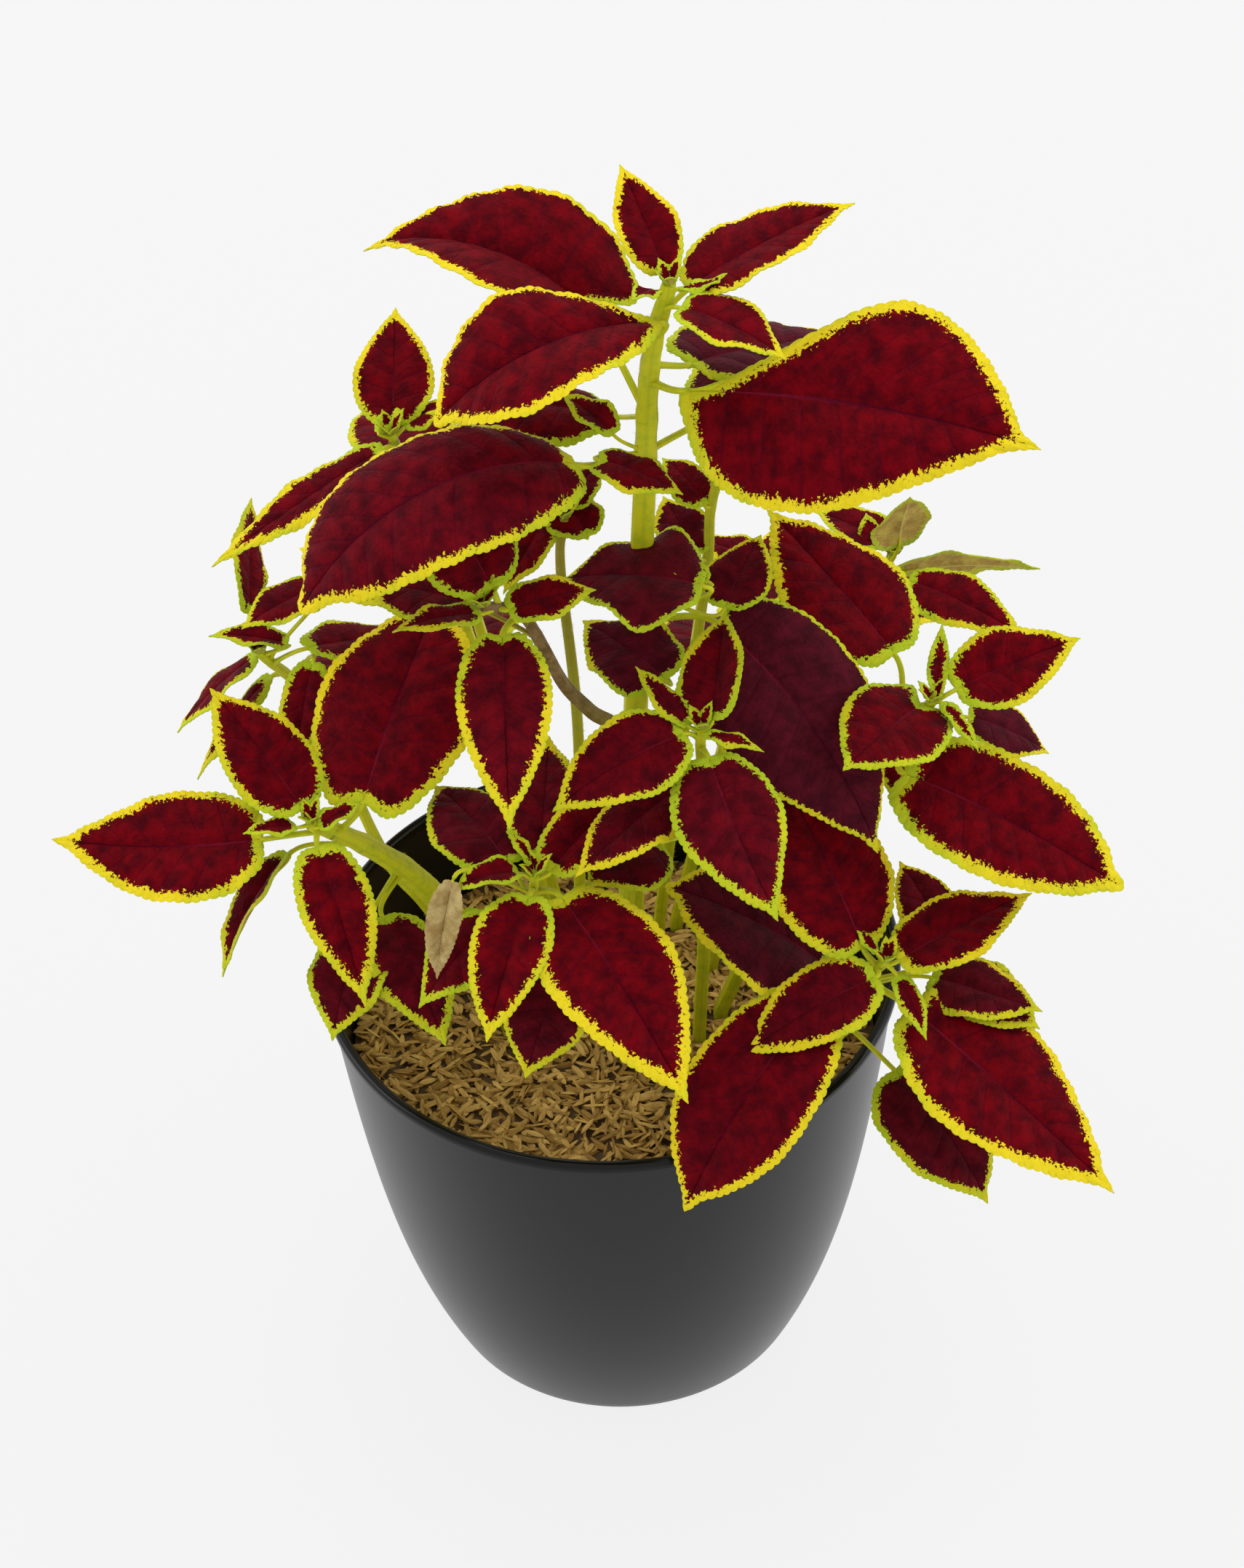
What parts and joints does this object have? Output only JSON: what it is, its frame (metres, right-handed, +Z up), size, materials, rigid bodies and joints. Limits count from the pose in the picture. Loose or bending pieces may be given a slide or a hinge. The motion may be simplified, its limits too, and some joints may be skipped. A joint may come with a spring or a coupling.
{
  "type": "potted coleus",
  "caption": "Round tapered pot filled with potting mix under a rice-hull mulch, holding upright leafy stems whose scalloped maroon blades have yellow margins.",
  "frame": {"origin": "middle of the pot's flat base, on the surface that the pot stands on", "axes": "+Z up, -Y towards the picture's viewer, +X to the viewer's right"},
  "size_m": [0.3403, 0.2837, 0.4562],
  "materials": {
    "pot_plastic": "satin",
    "potting_mix": "matte",
    "rice_hull": "matte",
    "coleus_leaf": "satin"
  },
  "bodies": {
    "root": {"pot": "pot_plastic", "potting_mix": "potting_mix", "rice_hull_mulch": "rice_hull", "main_leafy_stem": "coleus_leaf", "left_leafy_stem": "coleus_leaf", "left_centre_leafy_stem": "coleus_leaf", "front_leafy_stem": "coleus_leaf", "centre_leafy_stem": "coleus_leaf", "right_leafy_stem": "coleus_leaf", "front_right_leafy_stem": "coleus_leaf", "rear_left_leafy_stem": "coleus_leaf", "far_left_leafy_stem": "coleus_leaf", "rear_right_leafy_stem": "coleus_leaf", "slender_right_leafy_stem": "coleus_leaf", "slender_left_leafy_stem": "coleus_leaf", "back_left_leafy_stem": "coleus_leaf", "back_right_leafy_stem": "coleus_leaf"}
  },
  "joints": []
}
